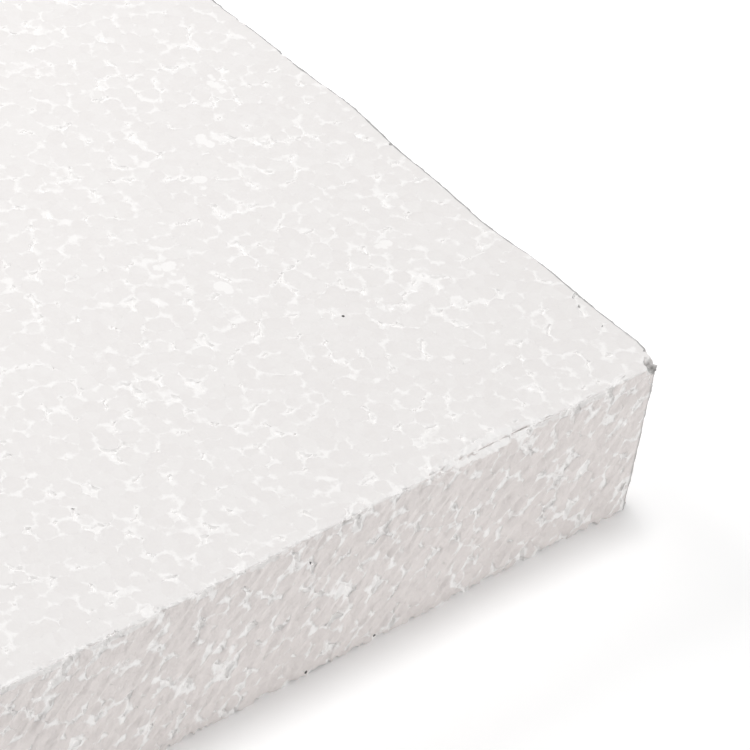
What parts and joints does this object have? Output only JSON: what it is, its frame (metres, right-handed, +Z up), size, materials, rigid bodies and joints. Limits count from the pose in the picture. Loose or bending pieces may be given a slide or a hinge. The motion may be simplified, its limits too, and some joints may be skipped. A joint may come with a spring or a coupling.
{
  "type": "polystyrene foam sheet",
  "caption": "Flat slab of white expanded polystyrene foam with hot-wire cut sides, one of them gently wavy, and worn, pitted edges.",
  "frame": {"origin": "centre of the underside, on the surface that the sheet lies on", "axes": "+X along the length, towards the wavy cut side; +Y along the width, away from the front side; +Z up through the thickness"},
  "size_m": [0.2, 0.15, 0.025],
  "materials": {
    "eps_foam": "white foam of fused beads, satin where the beads are cut, with bright gaps between them"
  },
  "bodies": {
    "root": {"foam_sheet": "eps_foam"}
  },
  "joints": []
}
